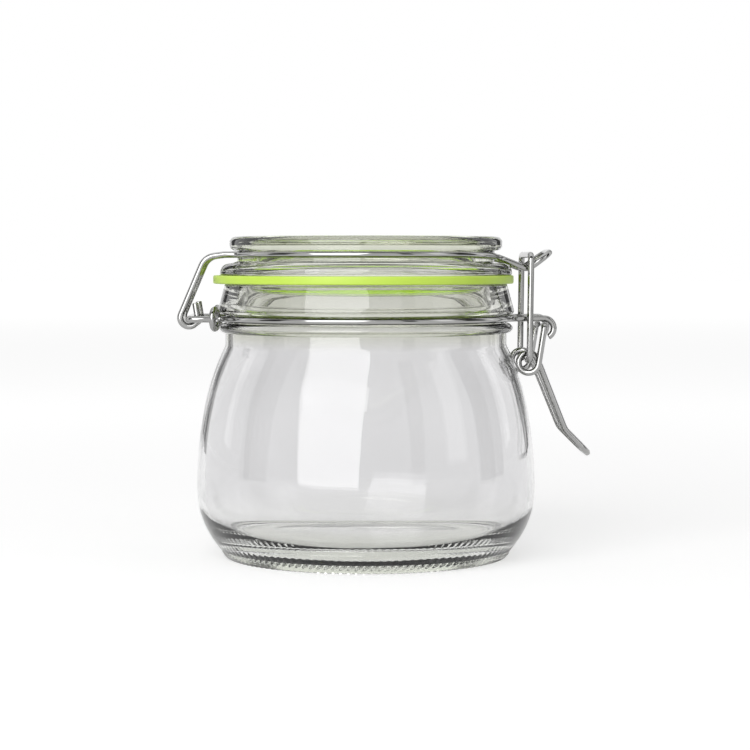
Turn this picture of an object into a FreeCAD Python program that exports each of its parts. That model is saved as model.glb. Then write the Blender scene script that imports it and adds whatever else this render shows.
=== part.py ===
"""Clip-top glass storage jar: turned glass jar and lid, flat rubber seal, and four bent steel wires.

Millimetres, +Z up. The origin is on the jar's axis, at the plane it stands on. +X points to the clasp,
-X to the hinge. Every half section is drawn in the XZ plane, and every wire is the same on both sides
of that plane.
"""

import FreeCAD
import Part
import Sketcher

import math
import os

Vector = FreeCAD.Vector
UP = Vector(0, 0, 1)

doc = FreeCAD.newDocument("storage_jar")

# ---------------------------------------------------------------------------------------------
# Driving dimensions
# ---------------------------------------------------------------------------------------------

DIMENSIONS = [
    # jar body
    ("body_diameter", 108.0, "widest part of the body"),
    ("widest_height", 21.7, "height of the widest part"),
    ("jar_height", 86.9, "bottom to sealing rim"),
    ("wall", 2.4, "glass thickness of the body and neck"),
    ("belly_up", 0.57, "where the two side arcs meet, as a share of the way up to the neck"),
    ("belly_in", 0.283, "where the two side arcs meet, as a share of the way in to the neck"),
    ("shoulder_round", 1.6, "hollow round between shoulder and neck"),
    # foot
    ("foot_diameter", 92.6, "foot, where the heel ends"),
    ("foot_height", 2.8, "height of the foot band"),
    ("foot_ledge", 0.5, "step from the foot band out to the heel"),
    ("bearing_width", 2.8, "flat ring that the jar stands on"),
    ("foot_taper", 1.5, "how far the foot band leans in"),
    ("recess_lean", 0.8, "slope of the ring's inner side"),
    ("base_recess", 1.2, "depth of the recess inside the bearing ring"),
    ("punt_diameter", 62.0, "push-up in the middle of the base"),
    ("punt_rise", 2.0, "height of the push-up above the recess"),
    ("floor_height", 5.0, "inside floor at its edge"),
    ("floor_rise", 1.8, "crown of the inside floor"),
    # neck, bead, wire groove, skirt and rim
    ("neck_diameter", 89.6, "plain neck"),
    ("neck_height", 3.4, "plain neck, from the shoulder to the bead"),
    ("bead_height", 3.3, "bead under the wire groove"),
    ("bead_out", 2.0, "how far the bead stands out from the neck"),
    ("groove_height", 2.7, "groove that the neck wire lies in"),
    ("groove_diameter", 89.2, "floor of the neck groove"),
    ("skirt_height", 9.6, "skirt, from its lower edge to the rim"),
    ("skirt_diameter", 94.4, "skirt at its lower edge"),
    ("skirt_round", 1.1, "round of the skirt's lower edge"),
    ("rim_diameter", 90.4, "outside of the rim"),
    ("rim_round", 0.9, "rounds of the rim"),
    ("mouth_diameter", 80.4, "bore of the mouth"),
    ("mouth_depth", 7.4, "straight bore, down from the rim"),
    ("mouth_blend", 4.6, "height over which the bore widens to the neck"),
    # lid
    ("lid_height", 12.2, "lid above its seat"),
    ("plug_depth", 7.1, "plug below the seat"),
    ("plug_diameter", 76.8, "plug at the seat"),
    ("plug_draft", 0.9, "how far the plug's side leans in"),
    ("plug_round", 1.2, "round of the plug's lower edge"),
    ("flange_diameter", 93.0, "lid flange"),
    ("flange_height", 4.4, "thickness of the flange"),
    ("flange_round", 3.0, "upper round of the flange"),
    ("flange_slope", 0.6, "fall of the flange's top from the wire groove to that round"),
    ("flange_edge", 0.6, "lower round of the flange"),
    ("lid_groove_diameter", 82.0, "floor of the lid's wire groove"),
    ("lid_groove_height", 3.4, "height of the lid's wire groove"),
    ("crown_diameter", 86.8, "top bead of the lid"),
    ("crown_round", 1.8, "rounds of the top bead"),
    ("crown_width", 6.2, "width of the top bead"),
    ("dish_depth", 12.6, "dish in the top of the lid"),
    ("dish_lean", 1.8, "how far the dish's side leans in"),
    ("dish_round", 2.2, "round at the foot of the dish"),
    # seal
    ("seal_thickness", 2.7, "flat rubber seal"),
    ("seal_diameter", 95.6, "outside of the seal"),
    ("seal_bore", 79.0, "bore of the seal"),
    ("seal_round", 0.5, "rounds of the seal's outer edge"),
    ("seal_offset", -0.8, "the seal sits a little towards the hinge"),
    # wires
    ("wire_diameter", 2.0, "all four wires"),
    ("wire_gap", 0.3, "clearance between one wire and the next"),
    ("groove_gap", 0.1, "clearance between a wire and the floor of its groove"),
    ("ring_bend", 4.0, "bend where a wire leaves its groove"),
    ("corner_bend", 2.5, "tight corner of a wire"),
    ("soft_bend", 4.0, "easy bend of a wire"),
    # hinge
    ("hinge_reach", 55.8, "jar's axis to the hinge bar"),
    ("hinge_hook", 2.7, "lid wire's hooks on the hinge bar, to the middle of the wire"),
    ("arm_spread", 26.0, "between the lid wire's two arms"),
    ("arm_reach", 50.7, "jar's axis to the top bend of the arms"),
    ("arm_drop", 0.8, "top bend of the arms below the ring"),
    ("arm_bend", 5.0, "top bend of the arms"),
    ("stub_length", 4.3, "straight end of each hinge hook"),
    ("stub_lean", 9.0, "lean of that end, degrees"),
    ("eye_radius", 3.0, "neck wire's rear eyes, to the middle of the wire"),
    ("eye_reach", 48.2, "jar's axis to the inner side of the rear eyes"),
    ("eye_lean", 75.0, "turn of the rear eyes away from the XZ plane, degrees"),
    # clasp
    ("tongue_spread", 19.0, "between the lid wire's two front strands"),
    ("tongue_reach", 58.0, "jar's axis to the end of the tongue"),
    ("tongue_rise", 0.7, "end of the tongue above the ring"),
    ("tongue_corner", 5.0, "corners at the end of the tongue"),
    ("dip_start", 52.0, "where the ring starts to dip towards the clasp, degrees from +X"),
    ("dip_lean", 4.5, "lean of the dipping part of the ring, degrees"),
    ("dip_turn", 35.0, "length of the dipping part of the ring, degrees"),
    ("crook_reach", 50.8, "jar's axis to the crook that the link pulls on"),
    ("crook_drop", 4.6, "crook below the ring, to the corner of its bend"),
    ("crook_round", 3.0, "bend of the crook"),
    ("hook_radius", 3.1, "neck wire's front hooks and the lever's coils, to the middle of the wire"),
    ("pivot_reach", 55.9, "jar's axis to the lever's pivot"),
    ("eye_turn", 152.0, "how far the neck wire's front hooks curl, degrees"),
    ("lever_arm", 12.3, "straight arm of the lever, pivot to coil"),
    ("lever_lean", 9.0, "lean of the arm towards the jar, degrees"),
    ("handle_lean", 22.4, "lean of the handle away from the jar, degrees"),
    ("handle_length", 24.5, "coil to the handle's knee"),
    ("knee_bend", 6.0, "bend at the handle's knee"),
    ("grip_reach", 7.8, "knee to the end of the grip, outwards"),
    ("grip_drop", 7.8, "knee to the end of the grip, downwards"),
    ("grip_spread", 13.0, "width of the grip at its end"),
    ("grip_corner", 4.5, "corners of the grip's end"),
    ("link_reach", 51.3, "jar's axis to the link's top bar"),
    ("link_lift", 2.0, "slack between the top bar and the crook, so the lever passes over centre"),
]

sizes = doc.addObject("Spreadsheet::Sheet", "sizes")
for row, (alias, value, note) in enumerate(DIMENSIONS, start=1):
    sizes.set(f"A{row}", alias)
    sizes.set(f"B{row}", str(value))
    sizes.set(f"C{row}", note)
    sizes.setAlias(f"B{row}", alias)
doc.recompute()


def size(alias):
    return float(sizes.get(alias))


def value_of(expression):
    """Number that a sheet expression stands for."""
    return float(sizes.evalExpression(expression.replace("sizes.", "")))


# ---------------------------------------------------------------------------------------------
# Half sections for the turned pieces
# ---------------------------------------------------------------------------------------------


class Bend:
    """Arc between two corners, with its centre to the left or right of the way that is travelled."""

    def __init__(self, radius, centre_side, bound=True):
        self.radius = radius
        self.left = centre_side == "left"
        self.bound = bound


def new_body(label):
    body = doc.addObject("PartDesign::Body", label)
    body.Label = label
    return body


def new_sketch(body, name):
    sketch = body.newObject("Sketcher::SketchObject", name)
    plane = next(item for item in body.Origin.OriginFeatures if item.Role == "XZ_Plane")
    sketch.AttachmentSupport = [(plane, "")]
    sketch.MapMode = "FlatFace"
    return sketch


def arc_centre(start, end, radius, left):
    chord = end - start
    middle = (start + end) * 0.5
    rise = math.sqrt(max(radius * radius - chord.Length ** 2 / 4, 0.0))
    normal = Vector(-chord.y, chord.x, 0).normalize()
    return middle + normal * (rise if left else -rise)


def arc_curve(centre, start, end, left):
    """Arc from start to end; a sketch keeps every arc anticlockwise, so a right-hand one is turned."""
    first, last = (start, end) if left else (end, start)
    angles = [math.atan2(point.y - centre.y, point.x - centre.x) for point in (first, last)]
    if angles[1] < angles[0]:
        angles[1] += 2 * math.pi
    circle = Part.Circle(centre, Vector(0, 0, 1), (start - centre).Length)
    return Part.ArcOfCircle(circle, *angles)


class Outline:
    """Closed half section. Corners are (across, up): text is bound to the sheet, a number is a first
    guess that the other constraints settle. Bends maps a corner to the arc that leaves it."""

    def __init__(self, sketch, corners, bends, smooth=()):
        self.sketch = sketch
        self.bends = bends
        self.count = len(corners)
        points = [Vector(self.number(x), self.number(z), 0) for x, z in corners]
        for index, point in enumerate(points):
            self.draw(index, point, points[(index + 1) % self.count])
        for index in range(self.count):
            before = (index - 1) % self.count
            kind = "Tangent" if index in smooth else "Coincident"
            self.bind(kind, before, self.end_of(before), index, self.start_of(index))
        for index, (across, up) in enumerate(corners):
            self.place(index, "DistanceX", across, -2)
            self.place(index, "DistanceY", up, -1)
        for index, bend in bends.items():
            if bend.bound:
                self.bind("Radius", index, value_of(bend.radius), expression=bend.radius)

    @staticmethod
    def number(entry):
        return value_of(entry) if isinstance(entry, str) else entry

    def draw(self, index, start, end):
        bend = self.bends.get(index)
        if bend is None:
            self.sketch.addGeometry(Part.LineSegment(start, end), False)
            return
        centre = arc_centre(start, end, self.number(bend.radius), bend.left)
        self.sketch.addGeometry(arc_curve(centre, start, end, bend.left), False)

    def start_of(self, index):
        bend = self.bends.get(index)
        return 2 if bend and not bend.left else 1

    def end_of(self, index):
        return 3 - self.start_of(index)

    def bind(self, *terms, expression=None):
        number = self.sketch.addConstraint(Sketcher.Constraint(*terms))
        if expression:
            self.sketch.setExpression(f"Constraints[{number}]", expression)

    def place(self, index, kind, entry, axis):
        if not isinstance(entry, str):
            return
        if entry == "0":
            self.bind("PointOnObject", index, self.start_of(index), axis)
        else:
            self.bind(kind, -1, 1, index, self.start_of(index), value_of(entry), expression=entry)

    def level_centre(self, index):
        """Put an arc's centre level with the corner that the arc leaves."""
        self.bind("Horizontal", index, 3, index, self.start_of(index))

    def level_centre_with_end(self, index):
        self.bind("Horizontal", index, 3, index, self.end_of(index))

    def centre_on_axis(self, index):
        self.bind("PointOnObject", index, 3, -2)

    def same_centre(self, index, other):
        self.bind("Coincident", index, 3, other, 3)

    def same_radius(self, index, other):
        self.bind("Equal", index, other)


def turn(body, sketch):
    feature = body.newObject("PartDesign::Revolution", "turned")
    feature.Profile = sketch
    feature.ReferenceAxis = (sketch, ["V_Axis"])
    feature.Angle = 360.0
    return feature


# ---------------------------------------------------------------------------------------------
# Jar glass: foot, heel, belly, shoulder, neck, bead, wire groove, skirt, rim, and the inside
# ---------------------------------------------------------------------------------------------

NECK_FOOT = ("(sizes.jar_height - sizes.skirt_height - sizes.groove_height - sizes.bead_height"
             " - sizes.neck_height)")
BODY_RADIUS = "sizes.body_diameter / 2"
NECK_RADIUS = "sizes.neck_diameter / 2"


def belly_guess():
    """Where the side arcs meet each other and the shoulder round, for the outside of the wall."""
    widest = Vector(size("body_diameter") / 2, size("widest_height"), 0)
    neck = Vector(size("neck_diameter") / 2, value_of(NECK_FOOT), 0)
    inward = (widest.x - neck.x) * size("belly_in")
    upward = (neck.y - widest.y) * size("belly_up")
    meet = Vector(widest.x - inward, widest.y + upward, 0)
    lower_radius = (inward ** 2 + upward ** 2) / (2 * inward)
    lower_centre = Vector(widest.x - lower_radius, widest.y, 0)
    outward = (meet - lower_centre).normalize()
    hollow = size("shoulder_round")
    hollow_centre = neck + Vector(hollow, 0, 0)
    across = meet - hollow_centre
    upper_radius = (across.dot(across) - hollow ** 2) / (2 * (across.dot(outward) + hollow))
    upper_centre = meet - outward * upper_radius
    touch = hollow_centre + (upper_centre - hollow_centre).normalize() * hollow
    return lower_radius, lower_centre, upper_radius, upper_centre, hollow_centre, touch


def make_jar_glass():
    body = new_body("jar_glass")
    sketch = new_sketch(body, "jar_section")
    lower_radius, lower_centre, upper_radius, upper_centre, hollow_centre, touch = belly_guess()
    wall = size("wall")
    hollow = size("shoulder_round")

    ring_outside = "sizes.foot_diameter / 2 - sizes.foot_taper"
    ring_inside = "(sizes.foot_diameter / 2 - sizes.foot_taper - sizes.bearing_width)"
    meet_across = f"{BODY_RADIUS} - ({BODY_RADIUS} - {NECK_RADIUS}) * sizes.belly_in"
    meet_up = f"sizes.widest_height + ({NECK_FOOT} - sizes.widest_height) * sizes.belly_up"
    bead_foot = f"{NECK_FOOT} + sizes.neck_height"
    bead_half = "sizes.bead_height / 2"
    groove_foot = f"{bead_foot} + sizes.bead_height"
    skirt_foot = "sizes.jar_height - sizes.skirt_height"
    rim_outside = "sizes.rim_diameter / 2"
    mouth = "sizes.mouth_diameter / 2"
    mouth_foot = "sizes.jar_height - sizes.mouth_depth"
    inner_neck = size("neck_diameter") / 2 - wall
    widen = inner_neck - size("mouth_diameter") / 2
    blend = (widen ** 2 + size("mouth_blend") ** 2) / (4 * widen)
    inner_touch = hollow_centre + (touch - hollow_centre).normalize() * (hollow + wall)
    inner_meet_direction = Vector(value_of(meet_across), value_of(meet_up), 0) - lower_centre
    inner_meet = lower_centre + inner_meet_direction.normalize() * (lower_radius - wall)
    floor_drop = "(sizes.widest_height - sizes.floor_height)"

    corners = [
        ("0", "sizes.base_recess + sizes.punt_rise"),                               # 0 punt
        ("sizes.punt_diameter / 2", "sizes.base_recess"),                           # 1
        (f"{ring_inside} - sizes.recess_lean", "sizes.base_recess"),                # 2
        (ring_inside, "0"),                                                         # 3 bearing ring
        (ring_outside, "0"),                                                        # 4
        ("sizes.foot_diameter / 2", "sizes.foot_height"),                           # 5 foot band
        ("sizes.foot_diameter / 2 + sizes.foot_ledge", "sizes.foot_height"),        # 6 heel
        (BODY_RADIUS, "sizes.widest_height"),                                       # 7 lower side
        (meet_across, meet_up),                                                     # 8 upper side
        (touch.x, touch.y),                                                         # 9 shoulder
        (NECK_RADIUS, NECK_FOOT),                                                   # 10 neck
        (NECK_RADIUS, bead_foot),                                                   # 11 bead
        (f"{NECK_RADIUS} + sizes.bead_out", f"{bead_foot} + {bead_half}"),          # 12
        ("sizes.groove_diameter / 2", groove_foot),                                 # 13 groove
        ("sizes.groove_diameter / 2", skirt_foot),                                  # 14 skirt
        ("sizes.skirt_diameter / 2 - sizes.skirt_round", skirt_foot),               # 15
        ("sizes.skirt_diameter / 2", f"{skirt_foot} + sizes.skirt_round"),          # 16
        (rim_outside, "sizes.jar_height - sizes.rim_round"),                        # 17 rim
        (f"{rim_outside} - sizes.rim_round", "sizes.jar_height"),                   # 18
        (f"{mouth} + sizes.rim_round", "sizes.jar_height"),                         # 19
        (mouth, "sizes.jar_height - sizes.rim_round"),                              # 20 mouth
        (mouth, mouth_foot),                                                        # 21
        (inner_neck - widen / 2, value_of(mouth_foot) - size("mouth_blend") / 2),   # 22
        (inner_neck, f"{mouth_foot} - sizes.mouth_blend"),                          # 23 inner neck
        (inner_neck, NECK_FOOT),                                                    # 24
        (inner_touch.x, inner_touch.y),                                             # 25
        (inner_meet.x, inner_meet.y),                                               # 26
        (f"{BODY_RADIUS} - sizes.wall", "sizes.widest_height"),                     # 27 inner heel
        (f"{BODY_RADIUS} - sizes.wall - {floor_drop}", "sizes.floor_height"),       # 28 floor
        ("sizes.punt_diameter / 2", "sizes.floor_height"),                          # 29
        ("0", "sizes.floor_height + sizes.floor_rise"),                             # 30
    ]
    dome = size("punt_diameter") ** 2 / 8 / size("punt_rise")
    crown = size("punt_diameter") ** 2 / 8 / size("floor_rise")
    heel_across = (size("body_diameter") - size("foot_diameter")) / 2 - size("foot_ledge")
    heel_up = size("widest_height") - size("foot_height")
    heel = (heel_across ** 2 + heel_up ** 2) / (2 * heel_across)
    bends = {
        0: Bend(dome + size("punt_rise") / 2, "right", bound=False),
        4: Bend("sizes.foot_height * 1.3", "left"),
        6: Bend(heel, "left", bound=False),
        7: Bend(lower_radius, "left", bound=False),
        8: Bend(upper_radius, "left", bound=False),
        9: Bend("sizes.shoulder_round", "right"),
        11: Bend("sizes.bead_out", "left"),
        12: Bend("sizes.bead_out * 1.1", "left"),
        15: Bend("sizes.skirt_round", "left"),
        17: Bend("sizes.rim_round", "left"),
        19: Bend("sizes.rim_round", "left"),
        21: Bend(blend, "left", bound=False),
        22: Bend(blend, "right", bound=False),
        24: Bend(hollow + wall, "left", bound=False),
        25: Bend(upper_radius - wall, "right", bound=False),
        26: Bend(lower_radius - wall, "right", bound=False),
        27: Bend(floor_drop, "right"),
        29: Bend(crown + size("floor_rise") / 2, "left", bound=False),
    }
    section = Outline(sketch, corners, bends, smooth=(8, 9, 10, 21, 22, 23, 24, 25, 26))
    section.centre_on_axis(0)
    section.level_centre_with_end(6)
    section.level_centre(7)
    section.same_radius(21, 22)
    section.same_centre(24, 9)
    section.same_centre(25, 8)
    section.same_centre(26, 7)
    section.centre_on_axis(29)
    turn(body, sketch)
    return body


# ---------------------------------------------------------------------------------------------
# Lid glass: plug, seat, flange, wire groove, top bead and dish
# ---------------------------------------------------------------------------------------------

SEAT = "(sizes.jar_height + sizes.seal_thickness)"


def make_lid_glass():
    body = new_body("lid_glass")
    sketch = new_sketch(body, "lid_section")
    plug_foot = f"{SEAT} - sizes.plug_depth"
    plug_side = "sizes.plug_diameter / 2 - sizes.plug_draft"
    flange = "sizes.flange_diameter / 2"
    flange_top = f"{SEAT} + sizes.flange_height"
    groove = "sizes.lid_groove_diameter / 2"
    groove_top = f"{flange_top} + sizes.lid_groove_height"
    crown = "sizes.crown_diameter / 2"
    top = f"{SEAT} + sizes.lid_height"
    inside = f"{crown} - sizes.crown_width"
    dish = f"{top} - sizes.dish_depth"
    corners = [
        ("0", plug_foot),                                                  # 0 under the plug
        (f"{plug_side} - sizes.plug_round", plug_foot),                    # 1
        (plug_side, f"{plug_foot} + sizes.plug_round"),                    # 2 plug's side
        ("sizes.plug_diameter / 2", SEAT),                                 # 3 seat
        (f"{flange} - sizes.flange_edge", SEAT),                           # 4
        (flange, f"{SEAT} + sizes.flange_edge"),                           # 5 flange
        (flange, f"{flange_top} - sizes.flange_slope - sizes.flange_round"),   # 6
        (f"{flange} - sizes.flange_round", f"{flange_top} - sizes.flange_slope"),   # 7
        (groove, flange_top),                                              # 8 wire groove
        (groove, groove_top),                                              # 9
        (f"{crown} - sizes.crown_round", groove_top),                      # 10 top bead
        (crown, f"{groove_top} + sizes.crown_round"),                      # 11
        (crown, f"{top} - sizes.crown_round"),                             # 12
        (f"{crown} - sizes.crown_round", top),                             # 13
        (f"{inside} + sizes.crown_round", top),                            # 14
        (inside, f"{top} - sizes.crown_round"),                            # 15 dish
        (f"{inside} - sizes.dish_lean", f"{dish} + sizes.dish_round"),     # 16
        (f"{inside} - sizes.dish_lean - sizes.dish_round", dish),          # 17
        ("0", dish),                                                       # 18
    ]
    bends = {
        1: Bend("sizes.plug_round", "left"),
        4: Bend("sizes.flange_edge", "left"),
        6: Bend("sizes.flange_round", "left"),
        10: Bend("sizes.crown_round", "left"),
        12: Bend("sizes.crown_round", "left"),
        14: Bend("sizes.crown_round", "left"),
        16: Bend("sizes.dish_round", "right"),
    }
    Outline(sketch, corners, bends)
    turn(body, sketch)
    return body


# ---------------------------------------------------------------------------------------------
# Rubber seal: a flat ring on the sealing rim, round the plug
# ---------------------------------------------------------------------------------------------


def make_seal():
    body = new_body("seal")
    sketch = new_sketch(body, "seal_section")
    outside = "sizes.seal_diameter / 2"
    corners = [
        ("sizes.seal_bore / 2", "sizes.jar_height"),
        (f"{outside} - sizes.seal_round", "sizes.jar_height"),
        (outside, "sizes.jar_height + sizes.seal_round"),
        (outside, f"{SEAT} - sizes.seal_round"),
        (f"{outside} - sizes.seal_round", SEAT),
        ("sizes.seal_bore / 2", SEAT),
    ]
    bends = {
        1: Bend("sizes.seal_round", "left"),
        3: Bend("sizes.seal_round", "left"),
    }
    Outline(sketch, corners, bends)
    turn(body, sketch)
    body.setExpression("Placement.Base.x", "sizes.seal_offset")
    return body


# ---------------------------------------------------------------------------------------------
# Bent wire: straight runs joined by tangent arcs
# ---------------------------------------------------------------------------------------------

WIRE = size("wire_diameter")
HALF_WIRE = WIRE / 2


def turned_about(point, centre, axis, degrees):
    return centre + FreeCAD.Rotation(axis, degrees).multVec(point - centre)


def arc_about(start, centre, axis, degrees):
    """Arc that starts at a point and turns about an axis through the centre."""
    middle = turned_about(start, centre, axis, degrees / 2)
    end = turned_about(start, centre, axis, degrees)
    return Part.Arc(start, middle, end).toShape()


def end_of(edge):
    return edge.valueAt(edge.LastParameter)


def runs(points, radii):
    """Straight runs through the points, with one bend radius for each inner point."""
    edges = []
    start = points[0]
    for before, corner, after, radius in zip(points, points[1:], points[2:], radii):
        back = (before - corner).normalize()
        ahead = (after - corner).normalize()
        half_turn = (math.pi - back.getAngle(ahead)) / 2
        reach = radius * math.tan(half_turn)
        first = corner + back * reach
        last = corner + ahead * reach
        centre = corner + (back + ahead).normalize() * (radius / math.cos(half_turn))
        middle = centre + (corner - centre).normalize() * radius
        edges.append(Part.LineSegment(start, first).toShape())
        edges.append(Part.Arc(first, middle, last).toShape())
        start = last
    if (points[-1] - start).Length > 1e-6:
        edges.append(Part.LineSegment(start, points[-1]).toShape())
    return edges


def other_side(edges):
    """The same run of edges on the far side of the XZ plane, travelled the other way."""
    mirrored = [edge.mirror(Vector(0, 0, 0), Vector(0, 1, 0)) for edge in edges]
    return list(reversed(mirrored))


def wire_solid(edges):
    """Round wire along a path."""
    path = Part.Wire(Part.__sortEdges__(edges))
    first = path.OrderedEdges[0]
    start = path.OrderedVertexes[0].Point
    parameter = first.FirstParameter
    if (first.valueAt(parameter) - start).Length > 1e-6:
        parameter = first.LastParameter
    disc = Part.Face(Part.Wire(Part.makeCircle(HALF_WIRE, start, first.tangentAt(parameter))))
    solid = path.makePipe(disc)
    expected = math.pi * HALF_WIRE ** 2 * path.Length
    if abs(solid.Volume - expected) > 0.01 * expected:
        raise RuntimeError(f"a wire has volume {solid.Volume:.1f}, not {expected:.1f}")
    return solid


def leaving_ring(radius, bend, spread):
    """Where a straight strand parallel to X leaves a ring: the strand's end, and the two bend points.

    Given for the +X, -Y quarter: the bend's centre, its point on the strand and its point on the ring.
    """
    aside = spread + bend
    centre = Vector(math.sqrt((radius + bend) ** 2 - aside ** 2), -aside, 0)
    on_strand = Vector(centre.x, -spread, 0)
    on_ring = centre * (radius / (radius + bend))
    return centre, on_strand, on_ring


def turn_between(centre, start, end):
    """Signed turn about +Z from start to end, in degrees, the short way."""
    first = math.atan2(start.y - centre.y, start.x - centre.x)
    last = math.atan2(end.y - centre.y, end.x - centre.x)
    turned = math.degrees(last - first)
    return (turned + 180) % 360 - 180


def rear_end_of_ring(radius, bend, spread, level):
    """Bend from the ring to a rear strand, and its two ends, for the -X, -Y quarter."""
    lift = Vector(0, 0, level)
    centre, on_strand, on_ring = leaving_ring(radius, bend, spread)
    centre.x, on_strand.x, on_ring.x = -centre.x, -on_strand.x, -on_ring.x
    turned = turn_between(centre, on_ring, on_strand)
    return arc_about(on_ring + lift, centre + lift, UP, turned), on_strand + lift, on_ring + lift


def ring_between(start, end, level):
    """Ring round the near side from start to end."""
    middle = Vector(start.x + end.x, start.y + end.y, 0).normalize() * math.hypot(end.x, end.y)
    return Part.Arc(start, middle + Vector(0, 0, level), end).toShape()


def near_side_ring(radius, bend, front_spread, rear_point, level):
    """Front strand's bend, then the ring round the near side as far as rear_point."""
    centre, on_strand, on_ring = leaving_ring(radius, bend, front_spread)
    lift = Vector(0, 0, level)
    front_bend = arc_about(on_strand + lift, centre + lift, UP, turn_between(centre, on_strand, on_ring))
    return on_strand + lift, [front_bend, ring_between(on_ring + lift, rear_point, level)]


def add_wire(label, solid):
    feature = doc.addObject("Part::Feature", label)
    feature.Label = label
    feature.Shape = solid
    return feature


# Places that more than one wire shares
SEAT_LEVEL = value_of(SEAT)
NECK_WIRE_LEVEL = size("jar_height") - size("skirt_height") - WIRE / 2 - size("wire_gap")
NECK_WIRE_RADIUS = size("groove_diameter") / 2 + size("groove_gap") + HALF_WIRE
LID_WIRE_LEVEL = (SEAT_LEVEL + size("flange_height") + size("lid_groove_height")
                  - size("wire_gap") - HALF_WIRE)
LID_WIRE_RADIUS = size("lid_groove_diameter") / 2 + size("groove_gap") + HALF_WIRE
PITCH = WIRE + size("wire_gap")
HOOK = size("hook_radius")
HINGE_HOOK = size("hinge_hook")
# A pin hangs in its eye with the wire gap at the loaded side.
EYE_SLACK = HOOK - WIRE - size("wire_gap")

# Side by side on each side of the clasp, from the inside out: hook, lever, link.
HOOK_ASIDE = size("tongue_spread") / 2
LEVER_ASIDE = HOOK_ASIDE + PITCH
LINK_ASIDE = LEVER_ASIDE + PITCH
PIN_ASIDE = HOOK_ASIDE - HALF_WIRE - size("wire_gap")

HINGE = Vector(-size("hinge_reach"), 0, NECK_WIRE_LEVEL)
PIVOT = Vector(size("pivot_reach"), 0, NECK_WIRE_LEVEL - HOOK + EYE_SLACK)


# ---------------------------------------------------------------------------------------------
# Neck wire: hinge bar, rear eyes, ring round the neck, and the hooks that hold the lever
# ---------------------------------------------------------------------------------------------


def make_neck_wire():
    arm_aside = size("arm_spread") / 2
    bar_aside = arm_aside + HALF_WIRE + size("wire_gap") + size("corner_bend")
    lean = math.radians(size("eye_lean"))
    across_eye = Vector(math.cos(lean), math.sin(lean), 0) * (2 * size("eye_radius"))

    # rear eye: one upright turn from the end of the hinge leg to the end of the ring's strand
    strand_aside = bar_aside - across_eye.y
    rear_bend, rear_strand, rear_ring = rear_end_of_ring(
        NECK_WIRE_RADIUS, size("corner_bend"), strand_aside, NECK_WIRE_LEVEL)
    eye_start = Vector(-math.sqrt(size("eye_reach") ** 2 - strand_aside ** 2), -strand_aside,
                       NECK_WIRE_LEVEL)
    leg_end = eye_start - across_eye
    eye_centre = eye_start - across_eye * 0.5
    eye_axis = Vector(-math.sin(lean), math.cos(lean), 0)

    strand, ring = near_side_ring(NECK_WIRE_RADIUS, size("ring_bend"), HOOK_ASIDE, rear_ring,
                                  NECK_WIRE_LEVEL)
    hook_top = Vector(PIVOT.x, -HOOK_ASIDE, NECK_WIRE_LEVEL)
    hook = arc_about(hook_top, hook_top - Vector(0, 0, HOOK), Vector(0, 1, 0), size("eye_turn"))
    half = ([hook, Part.LineSegment(hook_top, strand).toShape()] + ring
            + [rear_bend, Part.LineSegment(rear_strand, eye_start).toShape()])

    corner = HINGE + Vector(0, -bar_aside, 0)
    far_corner = HINGE + Vector(0, bar_aside, 0)
    far_leg_end = Vector(leg_end.x, -leg_end.y, leg_end.z)
    bar = wire_solid(runs([leg_end, corner, far_corner, far_leg_end], [size("corner_bend")] * 2))
    near = wire_solid(half)
    near_eye = Part.makeTorus(size("eye_radius"), HALF_WIRE, eye_centre, eye_axis)
    mirror = (Vector(0, 0, 0), Vector(0, 1, 0))
    solid = bar.multiFuse([near, near_eye, near.mirror(*mirror), near_eye.mirror(*mirror)])
    return add_wire("neck_wire", solid.Solids[0] if len(solid.Solids) == 1 else solid)


# ---------------------------------------------------------------------------------------------
# Lid wire: tongue, crook, ring round the lid, arms and hinge hooks
# ---------------------------------------------------------------------------------------------


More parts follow.
